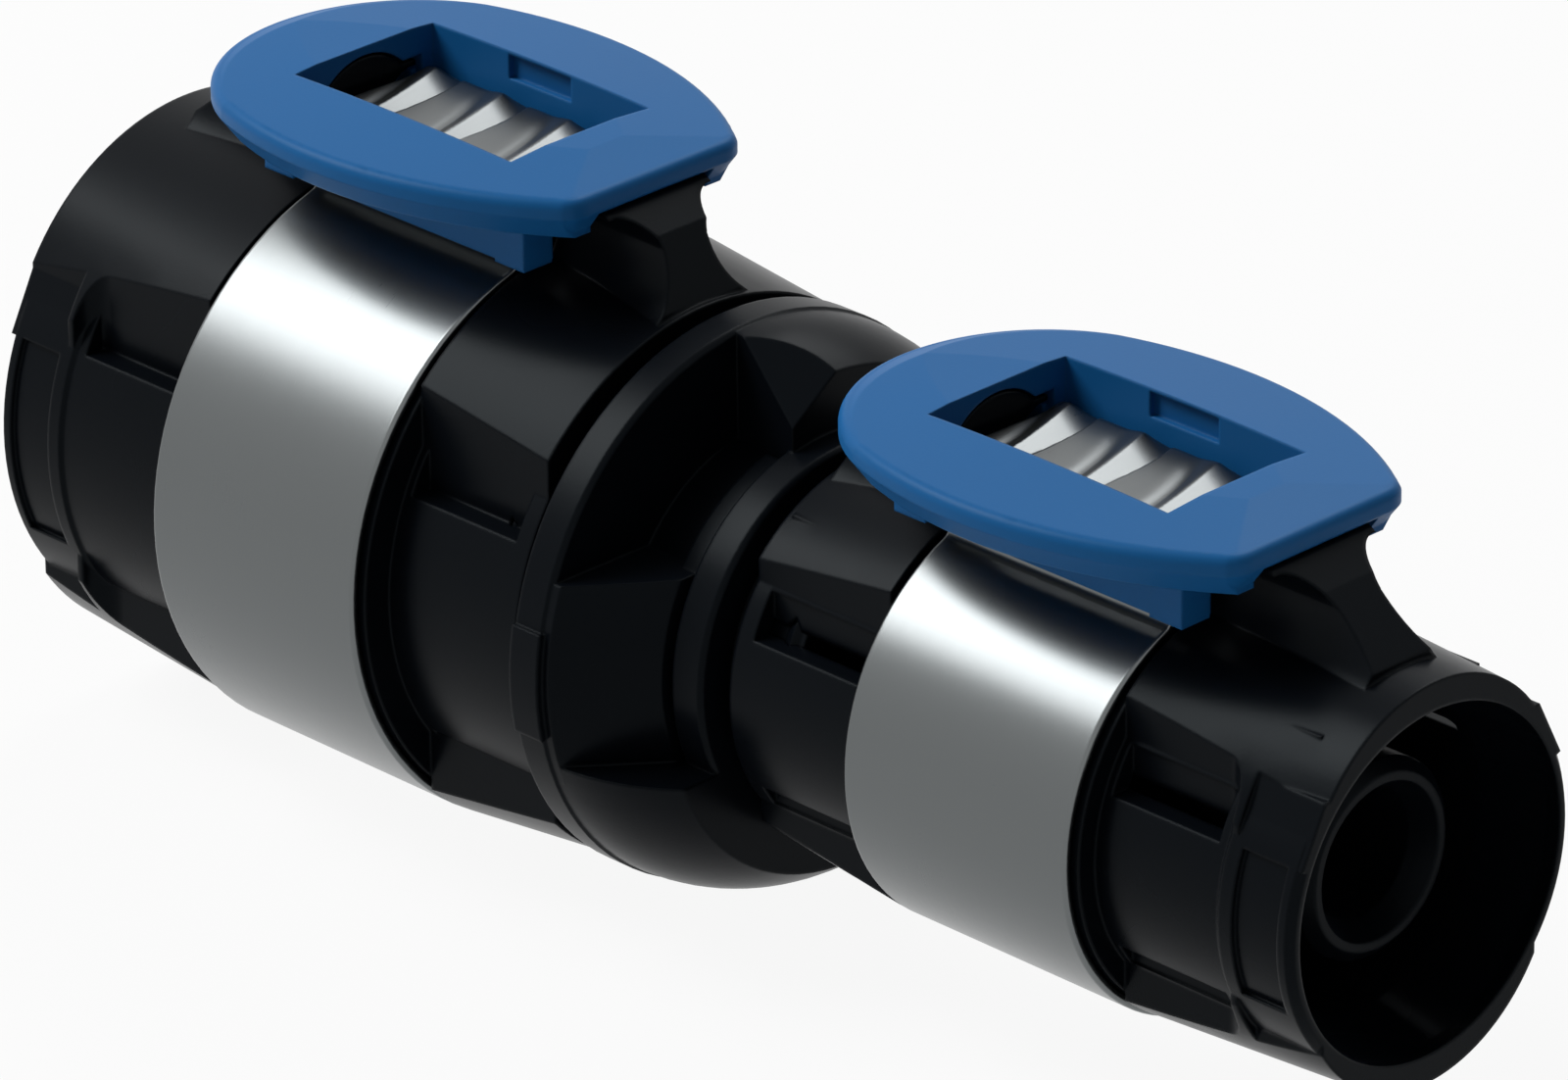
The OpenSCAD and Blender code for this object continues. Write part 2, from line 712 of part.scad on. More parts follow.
// The top slopes down to the square end
module stern_roof() {
    rotate([90, 0, 0]) linear_extrude(2 * far, center = true) polygon([
        [-far, -1], [stern + 1, -1], [stern + 1, rim_rise], [stern - rim_round, rim_rise],
        [window_len / 2 + ridge, window_rise + poke], [-far, window_rise + poke]
    ]);
}

module frame_hollow() {
    intersection() {
        translate([-side_shift, body_half - side_r, 0]) rotate_extrude() hollow_section(side_r);
        translate([-side_shift, side_r - body_half, 0]) rotate_extrude() hollow_section(side_r);
        union() {
            translate([bow_x, 0, 0]) rotate_extrude() hollow_section(bow_r + poke);
            past(bow_from);
        }
        mirror([1, 0, 0]) past(stern_r + wall - stern);
    }
}

// The walls that hang down round the ear, with a foot at each corner
module collar() {
    half = window_w / 2 + wall;
    translate([-window_len / 2 - wall, -half, collar_rise])
        cube([window_len + 2 * wall + foot_extra, 2 * half, seat_rise - collar_rise + bite]);
    for (side = [-1, 1])
        for (x = [-window_len / 2 - wall, window_len / 2 + foot_extra + wall - foot_len])
            translate([x, side > 0 ? half - foot_w : -half, foot_rise])
                cube([foot_len, foot_w, seat_rise - foot_rise]);
}

// Room for a post: a seat over its head and an arch over its nose
module post_room() {
    translate([window_len / 2 - bite, -head_half - seat_side, -1])
        cube([far, 2 * (head_half + seat_side), seat_rise + 1]);
    along(window_len / 2 - bite, window_len / 2 + nose_len + 2 * clip_play) intersection() {
        translate([0, nose_rise - head_half]) circle(head_half + clip_play);
        translate([-far, nose_rise - head_half]) square([2 * far, far]);
    }
}

module indicator() {
    difference() {
        union() {
            difference() {
                frame_blank();
                frame_hollow();
            }
            collar();
        }
        translate([-window_len / 2, -window_w / 2, -1]) cube([window_len, window_w, far]);
        for (side = [-1, 1])
            translate([0, side * window_w / 2, panel_rise + panel_h / 2])
                cube([panel_len, 2 * panel_depth, panel_h], center = true);
        for (end = [0, 1])
            mirror([end, 0, 0]) post_room();
    }
}

module large_sleeve() {
    at_large() sleeve(large_grip_r, large_band_r, large_chamber_r, large_side_wall, large_mouth_r,
        large_mouth_top, large_strap_half, large_wall_top, large_mouth);
}
module small_sleeve() {
    at_small() sleeve(small_grip_r, small_band_r, small_chamber_r, small_side_wall, small_mouth_r,
        small_mouth_top, small_strap_half, small_wall_top, small_mouth);
}
module large_band() { translate([-band_at, 0, 0]) band(large_band_r); }
module small_band() { translate([stop_gap + band_at, 0, 0]) band(small_band_r); }
module large_indicator() { color(blue) translate([-band_at, 0, large_band_r]) indicator(); }
module small_indicator() { color(blue) translate([stop_gap + band_at, 0, small_band_r]) indicator(); }
module large_inner_seal() { at_large() translate([seal_places[0], 0, 0]) seal(large_stub_r); }
module large_outer_seal() { at_large() translate([seal_places[1], 0, 0]) seal(large_stub_r); }
module small_inner_seal() { at_small() translate([seal_places[0], 0, 0]) seal(small_stub_r); }
module small_outer_seal() { at_small() translate([seal_places[1], 0, 0]) seal(small_stub_r); }

core_body();
large_sleeve();
large_band();
large_indicator();
large_outer_seal();
large_inner_seal();
small_sleeve();
small_band();
small_indicator();
small_outer_seal();
small_inner_seal();
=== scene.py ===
"""Dresses the press pipe reducer: finishes for its pieces, a plain studio and the camera."""

import logging
import math
from dataclasses import dataclass
from enum import Enum
from typing import Any, Dict, List, Optional, Sequence, Tuple, Union

import bpy
from mathutils import Matrix, Vector

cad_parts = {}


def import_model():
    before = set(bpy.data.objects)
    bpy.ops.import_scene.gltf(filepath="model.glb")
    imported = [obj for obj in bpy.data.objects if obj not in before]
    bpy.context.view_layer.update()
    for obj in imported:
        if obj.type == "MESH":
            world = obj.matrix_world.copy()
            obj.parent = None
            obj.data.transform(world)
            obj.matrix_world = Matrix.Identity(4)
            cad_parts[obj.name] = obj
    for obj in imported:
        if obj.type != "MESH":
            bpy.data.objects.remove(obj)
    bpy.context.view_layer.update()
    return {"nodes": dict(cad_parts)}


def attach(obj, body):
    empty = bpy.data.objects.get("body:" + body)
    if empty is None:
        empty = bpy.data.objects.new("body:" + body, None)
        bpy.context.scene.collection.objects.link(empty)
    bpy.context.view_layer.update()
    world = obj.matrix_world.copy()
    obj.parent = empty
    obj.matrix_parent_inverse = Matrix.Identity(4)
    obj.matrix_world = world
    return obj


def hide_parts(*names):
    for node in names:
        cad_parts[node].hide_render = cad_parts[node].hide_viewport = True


log = logging.getLogger("press_reducer")

Colour = Tuple[float, float, float]
Value = Union["Link", float, Sequence[float]]

# Metres, or a new grid's own units, within which two places count as the same
SAME_PLACE = 1e-5
# Metres within which two points are merged
MERGE_WITHIN = 1e-6
# Edges flatter than this are shaded smooth
SMOOTH_ANGLE = math.radians(40)
BEVEL_SAMPLES = 6
WHITE: Colour = (1.0, 1.0, 1.0)
NEAR_BLACK: Colour = (0.0018, 0.0026, 0.004)
WORN_BLACK: Colour = (0.0026, 0.0036, 0.0054)


class Zone(Enum):
    """The groups of pieces that share a finish."""

    CORE = "core"
    SLEEVE = "sleeve"
    BAND = "band"
    INDICATOR = "indicator"
    SEAL = "seal"


# Shader maths
class Link:
    """A node's output socket that can be used in Python expressions."""

    def __init__(self, sheet: "Sheet", socket: bpy.types.NodeSocket) -> None:
        """Keeps the sheet of nodes and the socket."""
        self.sheet = sheet
        self.socket = socket

    def _do(self, operation: str, first: Value, second: Value) -> "Link":
        """Adds a Math node.

        Args:
            operation: The node's operation.
            first: The first operand.
            second: The second operand.

        Returns:
            The node's output.
        """
        return self.sheet.add("ShaderNodeMath", {"operation": operation}, {0: first, 1: second})

    def __add__(self, other: Value) -> "Link":
        """Returns self + other."""
        return self._do("ADD", self, other)

    def __radd__(self, other: Value) -> "Link":
        """Returns other + self."""
        return self._do("ADD", other, self)

    def __mul__(self, other: Value) -> "Link":
        """Returns self * other."""
        return self._do("MULTIPLY", self, other)

    def __rmul__(self, other: Value) -> "Link":
        """Returns other * self."""
        return self._do("MULTIPLY", other, self)


class Sheet:
    """A material's or world's nodes, built one call at a time."""

    def __init__(self, tree: bpy.types.NodeTree) -> None:
        """Empties the node tree and keeps it."""
        tree.nodes.clear()
        self.tree = tree

    def node(
        self,
        kind: str,
        settings: Optional[Dict[str, Any]] = None,
        values: Optional[Dict[Union[int, str], Value]] = None,
    ) -> bpy.types.Node:
        """Adds a node.

        Args:
            kind: The node's type.
            settings: The node's own settings, such as an operation.
            values: Numbers, colours or links for its input sockets.

        Returns:
            The node.
        """
        made = self.tree.nodes.new(kind)
        for name, value in (settings or {}).items():
            setattr(made, name, value)
        for name, value in (values or {}).items():
            socket = made.inputs[name]
            if isinstance(value, Link):
                self.tree.links.new(value.socket, socket)
            elif isinstance(value, (int, float)):
                socket.default_value = value
            else:
                full = tuple(value)
                if len(socket.default_value) == 4 and len(full) == 3:
                    full = (*full, 1.0)
                socket.default_value = full
        return made

    def add(
        self,
        kind: str,
        settings: Optional[Dict[str, Any]] = None,
        values: Optional[Dict[Union[int, str], Value]] = None,
        out: Union[int, str] = 0,
    ) -> Link:
        """Adds a node and returns one of its outputs.

        Args:
            kind: The node's type.
            settings: The node's own settings.
            values: Numbers, colours or links for its input sockets.
            out: The output socket's name or number.

        Returns:
            The output.
        """
        return Link(self, self.node(kind, settings, values).outputs[out])

    def place(self) -> Link:
        """Returns Object coordinates, in metres."""
        return self.add("ShaderNodeTexCoord", out="Object")

    def noise(self, scale: float, detail: float, rough: float, at: Optional[Link] = None) -> Link:
        """Adds a noise pattern.

        Args:
            scale: Cells per metre.
            detail: Octaves.
            rough: How strong the fine octaves are.
            at: Where it is read; the Object coordinates if left out.

        Returns:
            A number around 0.5.
        """
        values = {"Vector": at or self.place(), "Scale": scale, "Detail": detail, "Roughness": rough}
        return self.add("ShaderNodeTexNoise", {}, values)

    def seen(self) -> Link:
        """Tells where the camera sees a surface directly, in a gloss or through glass.

        Returns:
            1 where it is seen so, otherwise 0.
        """
        path = self.node("ShaderNodeLightPath")
        direct, gloss, glass = (
            Link(self, path.outputs[name])
            for name in ("Is Camera Ray", "Is Glossy Ray", "Is Transmission Ray")
        )
        return self.add("ShaderNodeMath", {"operation": "MINIMUM"}, {0: direct + gloss + glass, 1: 1.0})

    def soft_edges(self, radius: float) -> Link:
        """Returns a normal that rounds the edges by a radius in metres."""
        return self.add("ShaderNodeBevel", {"samples": BEVEL_SAMPLES}, {"Radius": radius})

    def bump(self, height: Link, distance: float, normal: Optional[Link] = None) -> Link:
        """Adds a relief.

        Args:
            height: The height, as a number.
            distance: The height's scale in metres.
            normal: The normal that the height is added to.

        Returns:
            The new normal.
        """
        values: Dict[Union[int, str], Value] = {"Height": height, "Distance": distance}
        if normal is not None:
            values["Normal"] = normal
        return self.add("ShaderNodeBump", {}, values, "Normal")

    def blend(self, mask: Value, low: Value, high: Value) -> Link:
        """Returns a colour between low and high by the mask."""
        return self.add("ShaderNodeMix", {"data_type": "RGBA"}, {0: mask, 6: low, 7: high}, 2)


def new_material(name: str) -> Tuple[bpy.types.Material, Sheet]:
    """Makes an empty node material.

    Args:
        name: The material's name.

    Returns:
        The material and its sheet.
    """
    material = bpy.data.materials.new(name)
    material.use_nodes = True
    return material, Sheet(material.node_tree)


def close_surface(sheet: Sheet, values: Dict[Union[int, str], Value]) -> None:
    """Adds the main shader and the material's output.

    Args:
        sheet: The material's nodes.
        values: The main shader's inputs.
    """
    shader = sheet.add("ShaderNodeBsdfPrincipled", {}, values)
    sheet.node("ShaderNodeOutputMaterial", {}, {"Surface": shader})


def shade(colour: Colour, gain: float) -> Colour:
    """Returns the colour times a number."""
    return tuple(gain * part for part in colour)


# Finishes
@dataclass(frozen=True)
class MouldedPlastic:
    """A moulded plastic with a fine spark-eroded grain, soft edges and a slight sheen."""

    name: str
    base: Colour
    worn: Colour
    roughness: float
    specular: float
    gloss_tint: Colour = (0.84, 0.95, 1.0)
    roughness_spread: float = 0.08
    flow_scale: float = 45.0
    grain_scale: float = 5200.0
    grain_depth: float = 0.000004
    edge: float = 0.00028

    def build(self) -> bpy.types.Material:
        """Makes the material.

        Returns:
            The material.
        """
        material, sheet = new_material(self.name)
        flow = sheet.noise(self.flow_scale, detail=2.0, rough=0.5)
        grain = sheet.noise(self.grain_scale, detail=2.0, rough=0.6)
        close_surface(
            sheet,
            {
                "Base Color": sheet.blend(flow, self.base, self.worn),
                "Roughness": self.roughness - self.roughness_spread / 2 + flow * self.roughness_spread,
                "Specular IOR Level": self.specular,
                "Specular Tint": self.gloss_tint,
                "Normal": sheet.bump(grain, self.grain_depth, sheet.soft_edges(self.edge)),
            },
        )
        return material


@dataclass(frozen=True)
class SatinSteel:
    """Cold-rolled stainless strip: smooth, with faint rolling lines along the band."""

    name: str
    base: Colour
    roughness: float
    line_scale: float = 9000.0
    line_stretch: Tuple[float, float, float] = (1.0, 0.04, 0.04)
    line_spread: float = 0.04
    line_depth: float = 0.000002
    cloud_scale: float = 60.0
    cloud_spread: float = 0.03

    def build(self) -> bpy.types.Material:
        """Makes the material.

        Returns:
            The material.
        """
        material, sheet = new_material(self.name)
        stretched = sheet.add(
            "ShaderNodeMapping", {}, {"Vector": sheet.place(), "Scale": self.line_stretch}
        )
        lines = sheet.noise(self.line_scale, detail=2.0, rough=0.6, at=stretched)
        cloud = sheet.noise(self.cloud_scale, detail=2.0, rough=0.5)
        smoothest = self.roughness - self.cloud_spread
        close_surface(
            sheet,
            {
                "Base Color": self.base,
                "Metallic": 1.0,
                "Roughness": smoothest + lines * self.line_spread + cloud * self.cloud_spread,
                "Normal": sheet.bump(lines, self.line_depth),
            },
        )
        return material


@dataclass(frozen=True)
class SealRubber:
    """Soft black rubber with a faint bloom."""

    name: str
    base: Colour
    roughness: float
    roughness_spread: float = 0.1
    bloom_scale: float = 700.0
    bloom_gain: float = 1.6
    bloom_depth: float = 0.00001

    def build(self) -> bpy.types.Material:
        """Makes the material.

        Returns:
            The material.
        """
        material, sheet = new_material(self.name)
        bloom = sheet.noise(self.bloom_scale, detail=3.0, rough=0.6)
        close_surface(
            sheet,
            {
                "Base Color": sheet.blend(bloom, self.base, shade(self.base, self.bloom_gain)),
                "Roughness": self.roughness - self.roughness_spread / 2 + bloom * self.roughness_spread,
                "Normal": sheet.bump(bloom, self.bloom_depth),
            },
        )
        return material


@dataclass(frozen=True)
class StudioFloor:
    """Pale matte floor that the camera sees as white, apart from a soft shadow."""

    name: str
    base: Colour
    white_share: float
    paper_scale: float = 300.0
    paper_gain: float = 0.98

    def build(self) -> bpy.types.Material:
        """Makes the material.

        Returns:
            The material.
        """
        material, sheet = new_material(self.name)
        paper = sheet.noise(self.paper_scale, detail=2.0, rough=0.5)
        colour = sheet.blend(paper, self.base, shade(self.base, self.paper_gain))
        matte = sheet.add("ShaderNodeBsdfDiffuse", {}, {"Color": colour})
        glow = sheet.add("ShaderNodeEmission", {}, {"Color": WHITE, "Strength": 1.0})
        share = sheet.seen() * self.white_share
        mixed = sheet.add("ShaderNodeMixShader", {}, {0: share, 1: matte, 2: glow})
        sheet.node("ShaderNodeOutputMaterial", {}, {"Surface": mixed})
        return material


FINISHES: Dict[Zone, Union[MouldedPlastic, SatinSteel, SealRubber]] = {
    Zone.CORE: MouldedPlastic("core_black", NEAR_BLACK, WORN_BLACK, 0.3, 0.047),
    Zone.SLEEVE: MouldedPlastic("sleeve_black", NEAR_BLACK, WORN_BLACK, 0.28, 0.05),
    Zone.BAND: SatinSteel("band_steel", (0.134, 0.143, 0.145), 0.28),
    Zone.INDICATOR: MouldedPlastic(
        "indicator_blue", (0.0085, 0.106, 0.302), (0.011, 0.117, 0.326), 0.42, 0.1
    ),
    Zone.SEAL: SealRubber("seal_black", (0.015, 0.015, 0.016), 0.6),
}


def spread(start: float, stop: float, steps: int) -> List[float]:
    """Returns steps + 1 evenly spaced numbers from start to stop."""
    return [start + (stop - start) * i / steps for i in range(steps + 1)]


def ease(t: float) -> float:
    """Returns t clamped to 0..1 and eased at both ends."""
    t = max(0.0, min(1.0, t))
    return t * t * (3.0 - 2.0 * t)


def smooth(piece: bpy.types.Object, material: bpy.types.Material) -> None:
    """Smooths a finished piece's gentle edges and gives it its finish.

    Args:
        piece: The piece, which is the active object.
        material: Its finish.
    """
    bpy.ops.object.shade_smooth_by_angle(angle=SMOOTH_ANGLE)
    piece.data.materials.append(material)


# Assemblies
@dataclass
class DressedNodes:
    """CAD nodes that share one finish."""

    zone: Zone
    names: Sequence[str]

    def dress(self, nodes: Dict[str, bpy.types.Object], material: bpy.types.Material) -> None:
        """Gives every node the finish.

        Args:
            nodes: The frame's nodes by name.
            material: The finish.
        """
        for name in self.names:
            slots = nodes[name].data.materials
            if len(slots) == 0:
                slots.append(material)
            else:
                for i in range(len(slots)):
                    slots[i] = material


@dataclass
class CrimpedBand:
    """A press band of thin strip: a ring whose ends fold up into an ear with waves pressed across it.

    Each wave climbs to a ridge and falls past it to an edge, with a step down at that edge and a
    shallow valley before the climb. The ridge and the edge run across the ear from its front to its
    back: a front is a size at the ear's front, a slant, a gain or a hook is what its back adds.
    """

    node: str
    centre_x: float
    radius: float
    body: str = "root"
    half_width: float = 0.0085
    gauge: float = 0.00055
    ear_rise: float = 0.0041
    ear_half: float = 0.0051
    ear_corner: float = 0.0009
    fold_radius: float = 0.00065
    fold_half: float = 0.0052
    waves: int = 3
    wave_pitch: float = 0.0056
    ridge_front: float = -0.0001
    ridge_slant: float = 0.0011
    ridge_hook: float = 0.001
    edge_front: float = 0.0006
    edge_slant: float = 0.0001
    edge_hook: float = 0.0009
    crest_front: float = 0.00004
    crest_gain: float = 0.00024
    step_front: float = 0.00005
    step_gain: float = 0.00032
    step_run: float = 0.00025
    climb_front: float = 0.0006
    climb_gain: float = 0.0014
    valley_depth: float = 0.00012
    valley_half: float = 0.0006
    fade_from: float = 0.82
    fade_share: float = 0.7
    columns: int = 176
    ring_steps: int = 42
    fold_steps: int = 10
    wall_steps: int = 4
    corner_steps: int = 10
    lid_steps: int = 26
    lip: float = 0.0003
    edge_roll: float = 0.00022
    edge_segments: int = 3

    def outline(self) -> List[Tuple[float, float]]:
        """Draws the outer outline, from the bottom up one side, over the ear and down.

        Returns:
            The outline's points as y and z.
        """
        r, f = self.radius, self.fold_radius
        fold_z = math.sqrt((r + f) ** 2 - self.fold_half**2)
        top = r + self.ear_rise
        turn = math.atan2(self.fold_half, fold_z)
        side = [(r * math.sin(a), r * math.cos(a)) for a in spread(math.pi, turn, self.ring_steps)]
        end = math.acos((self.fold_half - self.ear_half) / f)
        start = 1.5 * math.pi - turn
        fold = [
            (self.fold_half + f * math.cos(a), fold_z + f * math.sin(a))
            for a in spread(start, math.pi - end, self.fold_steps)[1:]
        ]
        corner_y, corner_z = self.ear_half - self.ear_corner, top - self.ear_corner
        wall = [(self.ear_half, z) for z in spread(fold[-1][1], corner_z, self.wall_steps)[1:]]
        corner = [
            (corner_y + self.ear_corner * math.cos(a), corner_z + self.ear_corner * math.sin(a))
            for a in spread(0.0, math.pi / 2, self.corner_steps)[1:]
        ]
        lid = [(y, top) for y in spread(corner_y, 0.0, self.lid_steps)[1:]]
        half = side + fold + wall + corner + lid
        return half + [(-y, z) for y, z in reversed(half[:-1])]

    def wave(self, x: float, y: float) -> float:
        """Works out the pressed waves.

        Args:
            x: Place along the pipe axis, from the band's middle.
            y: Place across the ear.

        Returns:
            Their height at that place.
        """
        # 0 at the ear's front and 1 at its back
        back = max(0.0, min(1.0, 0.5 + 0.5 * y / self.ear_half))
        ridge = self.ridge_front - self.ridge_slant * back - self.ridge_hook * back**2
        edge = self.edge_front - self.edge_slant * back - self.edge_hook * back**4
        crest = self.crest_front + self.crest_gain * back
        depth = self.step_front + self.step_gain * back
        climb = self.climb_front + self.climb_gain * back**3
        height = 0.0
        for i in range(self.waves):
            d = x - (i - (self.waves - 1) / 2) * self.wave_pitch
            if d < ridge:
                hollow = math.exp(-(((d - ridge + climb) / self.valley_half) ** 2))
                dip = self.valley_depth * (1.0 - back**4) * hollow
                height += crest * ease(1.0 + (d - ridge) / climb) - dip
            elif d < edge:
                height += crest - (crest + depth) * (d - ridge) / (edge - ridge)
            else:
                height -= depth * (1.0 - ease((d - edge) / self.step_run))
        shoulder = ease((abs(y) / self.ear_half - self.fade_from) / (1.0 - self.fade_from))
        return height * (1.0 - self.fade_share * shoulder)

    def press_waves(self, band: bpy.types.Object, outer: int) -> None:
        """Moves both faces of the ear's lid by the waves, so that the strip keeps its gauge.

        Args:
            band: The shell of strip.
            outer: How many of its points, the first ones, lie on the outer face.
        """
        top = self.radius + self.ear_rise
        points = band.data.vertices
        for i in range(outer):
            x, y, z = points[i].co
            on_lid = ease((z - top + self.ear_corner) / self.ear_corner)
            if on_lid > 0.0:
                shift = on_lid * self.wave(x - self.centre_x, y)
                points[i].co.z += shift
                points[i + outer].co.z += shift

    def on_long_edge(self, point: bpy.types.MeshVertex) -> bool:
        """Tells whether a point lies on one of the strip's two long edges."""
        return abs(abs(point.co.x - self.centre_x) - self.half_width) < SAME_PLACE

    def round_edges(self, band: bpy.types.Object, outer: int) -> None:
        """Rolls the four long edges of the strip over.

        Args:
            band: The shell of strip.
            outer: How many of its points, the first ones, lie on the outer face.
        """
        points = band.data.vertices
        bpy.ops.object.mode_set(mode="EDIT")
        bpy.ops.mesh.select_mode(type="EDGE")
        bpy.ops.mesh.select_all(action="DESELECT")
        bpy.ops.object.mode_set(mode="OBJECT")
        for line in band.data.edges:
            first, second = line.vertices
            along = self.on_long_edge(points[first]) and self.on_long_edge(points[second])
            line.select = along and (first < outer) == (second < outer)
        bpy.ops.object.mode_set(mode="EDIT")
        bpy.ops.mesh.bevel(
            offset=self.edge_roll, segments=self.edge_segments, affect="EDGES", clamp_overlap=True
        )
        bpy.ops.object.mode_set(mode="OBJECT")

    def lay_strip(self) -> bpy.types.Object:
        """Models the strip's outer face, with a narrow lip along each long edge.

        Returns:
            The face, closed into a ring.
        """
        outline = self.outline()
        last = len(outline) - 1
        bpy.ops.object.select_all(action="DESELECT")
        bpy.ops.mesh.primitive_grid_add(x_subdivisions=self.columns, y_subdivisions=last, size=2.0)
        band = bpy.context.active_object
        band.name = f"{self.node}_strip"
        # The grid's first and last columns become the lips
        inside = 1.0 - 2.0 / self.columns
        for point in band.data.vertices:
            y, z = outline[round((point.co.y + 1.0) / 2.0 * last)]
            across = point.co.x
            if abs(across) <= inside + SAME_PLACE:
                x = across / inside * (self.half_width - self.lip)
            else:
                x = across * self.half_width
            point.co = (self.centre_x + x, y, z)
        bpy.ops.object.mode_set(mode="EDIT")
        bpy.ops.mesh.select_all(action="SELECT")
        bpy.ops.mesh.remove_doubles(threshold=MERGE_WITHIN)
        bpy.ops.mesh.normals_make_consistent(inside=False)
        bpy.ops.object.mode_set(mode="OBJECT")
        return band

    def build(self, material: bpy.types.Material) -> bpy.types.Object:
        """Models the band.

        Args:
            material: Its finish.

        Returns:
            The finished piece.
        """
        band = self.lay_strip()
        outer = len(band.data.vertices)
        shell = band.modifiers.new("gauge", "SOLIDIFY")
        shell.thickness, shell.offset, shell.use_even_offset = self.gauge, -1.0, True
        bpy.ops.object.modifier_apply(modifier=shell.name)
        self.press_waves(band, outer)
        self.round_edges(band, outer)
        smooth(band, material)
        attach(band, self.body)
        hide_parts(self.node)
        return band


@dataclass
class ClipFeet:
    """Two small feet under an indicator's collar, one on each side of the rear post's nose."""

    indicator: str
    centre_x: float
    radius: float
    body: str = "root"
    ends: Tuple[float, float] = (-0.0118, -0.0096)
    sides: Tuple[float, float] = (0.00412, 0.00495)
    rises: Tuple[float, float] = (0.00195, 0.00365)
    lead_in: float = 0.0003
    edge_round: float = 0.00012
    edge_segments: int = 2

    def build(self, material: bpy.types.Material) -> List[bpy.types.Object]:
        """Models both feet.

        Args:
            material: Their finish.

        Returns:
            The finished pieces, left and right.
        """
        return [self.build_foot(name, side, material) for name, side in (("left", 1.0), ("right", -1.0))]

    def build_foot(self, name: str, side: float, material: bpy.types.Material) -> bpy.types.Object:
        """Models one foot.

        Args:
            name: The side's name.
            side: 1 for the left foot and -1 for the right one.
            material: Its finish.

        Returns:
            The finished piece.
        """
        spans = (self.ends, self.sides, self.rises)
        size = [high - low for low, high in spans]
        x, y, z = ((low + high) / 2 for low, high in spans)
        bpy.ops.object.select_all(action="DESELECT")
        bpy.ops.mesh.primitive_cube_add(size=1.0)
        foot = bpy.context.active_object
        foot.name = f"{self.indicator}_clip_{name}"
        bpy.ops.object.mode_set(mode="EDIT")
        bpy.ops.mesh.select_all(action="SELECT")
        bpy.ops.transform.resize(value=size, center_override=(0.0, 0.0, 0.0))
        bpy.ops.object.mode_set(mode="OBJECT")
        for point in foot.data.vertices:
            if point.co.z < 0.0 and point.co.y * side < 0.0:
                point.co.y += side * self.lead_in
        bpy.ops.object.mode_set(mode="EDIT")
        bpy.ops.mesh.select_all(action="SELECT")
        bpy.ops.mesh.bevel(
            offset=self.edge_round, segments=self.edge_segments, affect="EDGES", clamp_overlap=True
        )
        bpy.ops.transform.translate(value=(self.centre_x + x, side * y, self.radius + z))
        bpy.ops.mesh.normals_make_consistent(inside=False)
        bpy.ops.object.mode_set(mode="OBJECT")
        smooth(foot, material)
        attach(foot, self.body)
        return foot


@dataclass(frozen=True)
class SoftBox:
    """A rectangular lamp that faces the object."""

    name: str
    at: Tuple[float, float, float]
    size: Tuple[float, float]
    watts: float

    def build(self) -> None:
        """Hangs the lamp."""
        data = bpy.data.lights.new(self.name, "AREA")
        data.shape = "RECTANGLE"
        data.size, data.size_y = self.size
        data.energy = self.watts
        lamp = bpy.data.objects.new(self.name, data)
        bpy.context.scene.collection.objects.link(lamp)
        lamp.location = self.at
        lamp.rotation_mode = "QUATERNION"
        lamp.rotation_quaternion = Vector(self.at).to_track_quat("Z", "Y")


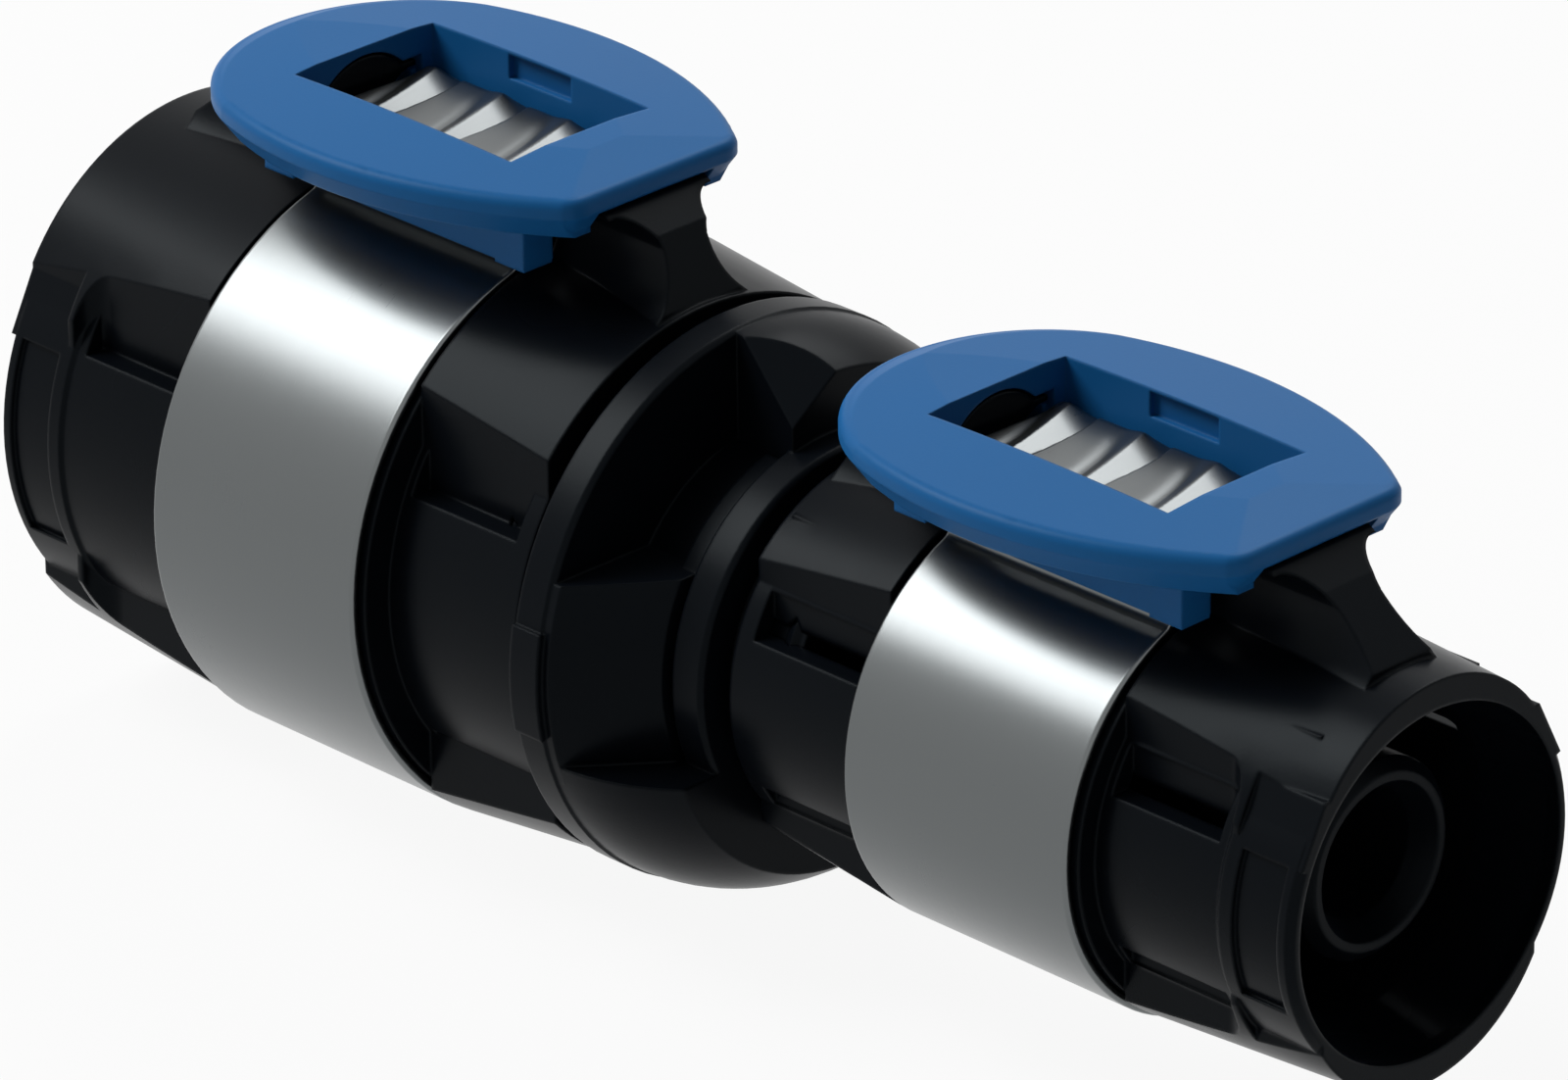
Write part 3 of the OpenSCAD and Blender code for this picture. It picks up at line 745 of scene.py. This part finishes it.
@dataclass
class Studio:
    """The floor, the lamps, the background and the camera.

    The camera's azimuth, elevation and roll are in degrees, and its sensor and lens in millimetres.
    """

    floor_z: float = -0.0186
    floor_half: float = 1.6
    floor_cuts: int = 3
    floor_finish: StudioFloor = StudioFloor("studio_paper", (0.7, 0.7, 0.7), 0.92)
    room_level: float = 0.1
    lamps: Sequence[SoftBox] = (
        SoftBox("soft_box_above", (-0.75, -0.45, 0.98), (0.72, 0.72), 15.0),
        SoftBox("soft_box_side", (0.9, -0.9, 0.5), (0.6, 0.8), 0.2),
        SoftBox("soft_box_back", (-0.3, 0.82, 0.98), (0.6, 0.6), 5.5),
    )
    camera_at: Tuple[float, float, float] = (0.40617, -0.39252, 0.26808)
    azimuth: float = 45.65
    elevation: float = 25.17
    roll: float = -0.60
    lens: float = 251.3
    sensor: float = 36.0
    clip_near: float = 0.02
    clip_far: float = 20.0

    def build(self) -> None:
        """Makes everything."""
        self.build_floor()
        self.build_world()
        for lamp in self.lamps:
            lamp.build()
        self.build_camera()

    def build_floor(self) -> None:
        """Models the floor as a flat sheet under the object."""
        bpy.ops.object.select_all(action="DESELECT")
        bpy.ops.mesh.primitive_plane_add(size=2 * self.floor_half, location=(0.0, 0.0, self.floor_z))
        floor = bpy.context.active_object
        floor.name = "studio_floor"
        bpy.ops.object.mode_set(mode="EDIT")
        bpy.ops.mesh.select_all(action="SELECT")
        bpy.ops.mesh.subdivide(number_cuts=self.floor_cuts)
        bpy.ops.object.mode_set(mode="OBJECT")
        bpy.ops.object.transform_apply(location=True, rotation=True, scale=True)
        floor.data.materials.append(self.floor_finish.build())

    def build_world(self) -> None:
        """Sets a white background and an even room light."""
        world = bpy.data.worlds.new("studio_room")
        world.use_nodes = True
        bpy.context.scene.world = world
        sheet = Sheet(world.node_tree)
        room = sheet.add("ShaderNodeBackground", {}, {"Color": WHITE, "Strength": self.room_level})
        white = sheet.add("ShaderNodeBackground", {}, {"Color": WHITE, "Strength": 1.0})
        mixed = sheet.add("ShaderNodeMixShader", {}, {0: sheet.seen(), 1: room, 2: white})
        sheet.node("ShaderNodeOutputWorld", {}, {"Surface": mixed})

    def build_camera(self) -> None:
        """Places the camera at the photograph's viewing angle."""
        data = bpy.data.cameras.new("camera")
        data.sensor_width = self.sensor
        data.lens = self.lens
        data.clip_start, data.clip_end = self.clip_near, self.clip_far
        camera = bpy.data.objects.new("camera", data)
        bpy.context.scene.collection.objects.link(camera)
        a, e = math.radians(self.azimuth), math.radians(self.elevation)
        back = Vector((math.sin(a) * math.cos(e), -math.cos(a) * math.cos(e), math.sin(e)))
        right = Vector((math.cos(a), math.sin(a), 0.0))
        up = back.cross(right)
        c, s = math.cos(math.radians(self.roll)), math.sin(math.radians(self.roll))
        turned_right, turned_up = c * right + s * up, c * up - s * right
        turn = Matrix((turned_right, turned_up, back)).transposed()
        camera.rotation_mode = "QUATERNION"
        camera.rotation_quaternion = turn.to_quaternion()
        camera.location = self.camera_at
        bpy.context.scene.camera = camera


@dataclass
class PressReducer:
    """The whole fitting."""

    groups: Sequence[DressedNodes] = (
        DressedNodes(Zone.CORE, ("core_body",)),
        DressedNodes(Zone.SLEEVE, ("large_sleeve", "small_sleeve")),
        DressedNodes(Zone.INDICATOR, ("large_indicator", "small_indicator")),
        DressedNodes(
            Zone.SEAL,
            ("large_outer_seal", "large_inner_seal", "small_outer_seal", "small_inner_seal"),
        ),
    )
    bands: Sequence[CrimpedBand] = (
        CrimpedBand("large_band", -0.02065, 0.018),
        CrimpedBand("small_band", 0.03065, 0.0128),
    )
    clips: Sequence[ClipFeet] = (
        ClipFeet("large_indicator", -0.02065, 0.018),
        ClipFeet("small_indicator", 0.03065, 0.0128),
    )

    def build(self, nodes: Dict[str, bpy.types.Object]) -> None:
        """Models the bands and the clips, and dresses every piece.

        Args:
            nodes: The frame's nodes by name.
        """
        materials = {zone: finish.build() for zone, finish in FINISHES.items()}
        for band in self.bands:
            log.info("%s: %d faces", band.node, len(band.build(materials[Zone.BAND]).data.polygons))
        for clip in self.clips:
            for foot in clip.build(materials[Zone.INDICATOR]):
                log.info("%s: %d faces", foot.name, len(foot.data.polygons))
        for group in self.groups:
            group.dress(nodes, materials[group.zone])
            log.info("%s finish on %s", group.zone.value, ", ".join(group.names))


def main() -> None:
    """Builds the scene."""
    logging.basicConfig(level=logging.INFO, format="%(message)s")
    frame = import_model()
    bpy.context.scene.view_settings.view_transform = "Standard"
    PressReducer().build(frame["nodes"])
    Studio().build()


if __name__ == "__main__":
    main()
